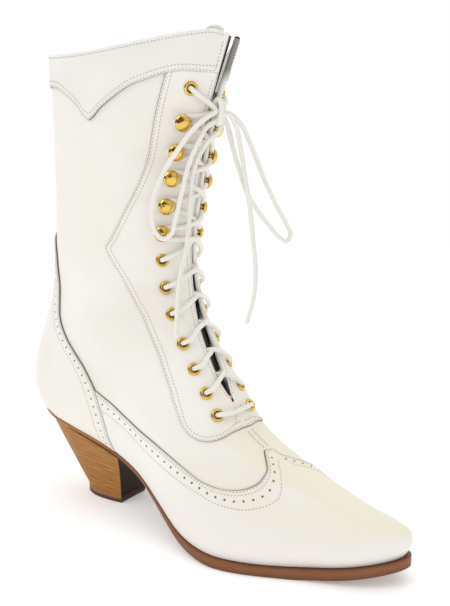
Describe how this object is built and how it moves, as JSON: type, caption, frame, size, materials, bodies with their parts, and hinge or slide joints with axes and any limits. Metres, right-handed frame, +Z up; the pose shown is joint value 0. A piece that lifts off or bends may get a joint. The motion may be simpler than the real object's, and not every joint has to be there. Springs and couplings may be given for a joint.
{
  "type": "victorian boot",
  "caption": "Lace-up ankle boot with a pointed toe, wingtip seams, eyelets and speed hooks up the front, a collar above the ankle and an undercut stacked heel.",
  "frame": {"origin": "on the ground, under the middle of the boot's box without the bow", "axes": "+X from heel to toe, +Y to the inner side of the foot, +Z up"},
  "size_m": [0.2597, 0.0908, 0.285],
  "materials": {
    "white_leather": "smooth white finished leather",
    "tongue_leather": "dark tongue leather, white at its top",
    "insole_leather": "plain tan sock leather",
    "sole_leather": "brown stained and burnished sole edge",
    "stacked_wood": "stacked layers, lightly polished",
    "tip_rubber": "dark brown, matt",
    "brass": "polished",
    "lace_cotton": "round woven white cord"
  },
  "bodies": {
    "root": {"upper": "white_leather", "tongue": "tongue_leather", "insole": "insole_leather", "outsole": "sole_leather", "heel": "stacked_wood", "toplift": "tip_rubber", "eyelet_outer_1": "brass", "eyelet_outer_2": "brass", "eyelet_outer_3": "brass", "eyelet_outer_4": "brass", "eyelet_outer_5": "brass", "eyelet_outer_6": "brass", "eyelet_outer_7": "brass", "eyelet_outer_8": "brass", "eyelet_inner_1": "brass", "eyelet_inner_2": "brass", "eyelet_inner_3": "brass", "eyelet_inner_4": "brass", "eyelet_inner_5": "brass", "eyelet_inner_6": "brass", "eyelet_inner_7": "brass", "eyelet_inner_8": "brass", "hook_outer_1": "brass", "hook_outer_2": "brass", "hook_outer_3": "brass", "hook_outer_4": "brass", "hook_outer_5": "brass", "hook_inner_1": "brass", "hook_inner_2": "brass", "hook_inner_3": "brass", "hook_inner_4": "brass", "hook_inner_5": "brass", "lace_crossings": "lace_cotton", "lace_knot": "lace_cotton", "lace_loop_outer": "lace_cotton", "lace_loop_inner": "lace_cotton", "lace_end_outer": "lace_cotton", "lace_end_inner": "lace_cotton"}
  },
  "joints": []
}
